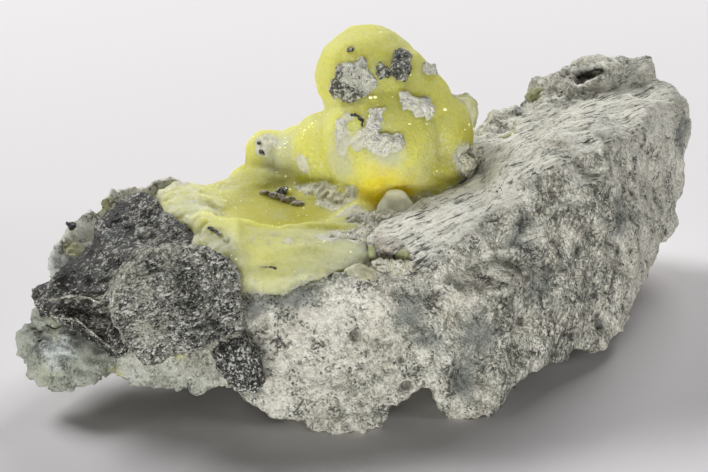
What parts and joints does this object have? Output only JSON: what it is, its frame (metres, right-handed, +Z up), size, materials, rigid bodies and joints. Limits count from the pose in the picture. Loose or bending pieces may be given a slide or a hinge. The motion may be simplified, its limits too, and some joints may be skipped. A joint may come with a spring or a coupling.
{
  "type": "brucite mineral specimen on matrix",
  "caption": "Mineral display piece: a smooth, round-lobed waxy crust with a knobbly dome, lining the hollow of a long, curved block of rough grey-white rock that stands on its own feet.",
  "frame": {"origin": "Bottom centre of the bounding box, on the surface that the specimen stands on.", "axes": "+X runs along the specimen from the dark plates to the rock's high end, +Y runs to its back, +Z is up."},
  "size_m": [0.1216, 0.0814, 0.0545],
  "materials": {
    "matrix_rock": "rough, chalky, altered serpentine rock with slickenside streaks",
    "brucite": "waxy, translucent lemon-yellow brucite",
    "white_brucite": "smooth, waxy white brucite",
    "clear_brucite": "glassy, nearly colourless brucite",
    "dark_rock": "coarse-grained dark wall rock, partly rusty",
    "grey_rock": "coarse-grained salt-and-pepper wall rock",
    "crumb_rock": "rough grey rock crumbs",
    "crumb_white": "chalky white crumbs with grey specks",
    "metallic_mineral": "dark metallic lustre"
  },
  "bodies": {
    "root": {"matrix_rock": "matrix_rock", "brucite_crust": "brucite", "white_bead": "white_brucite", "pale_shard": "clear_brucite", "dark_plate_upper": "dark_rock", "dark_plate_under": "dark_rock", "dark_plate_front": "grey_rock", "dark_plate_lower": "dark_rock", "crumb_large": "crumb_rock", "crumb_dark_mid": "crumb_rock", "crumb_dark_right": "crumb_rock", "crumb_edge": "crumb_rock", "crumb_pale": "crumb_white", "crumb_white": "crumb_white", "crumb_speckled": "crumb_white", "crumb_strip": "crumb_rock", "rock_splinter": "crumb_rock", "metal_grain": "metallic_mineral", "black_grain": "dark_rock"}
  },
  "joints": []
}
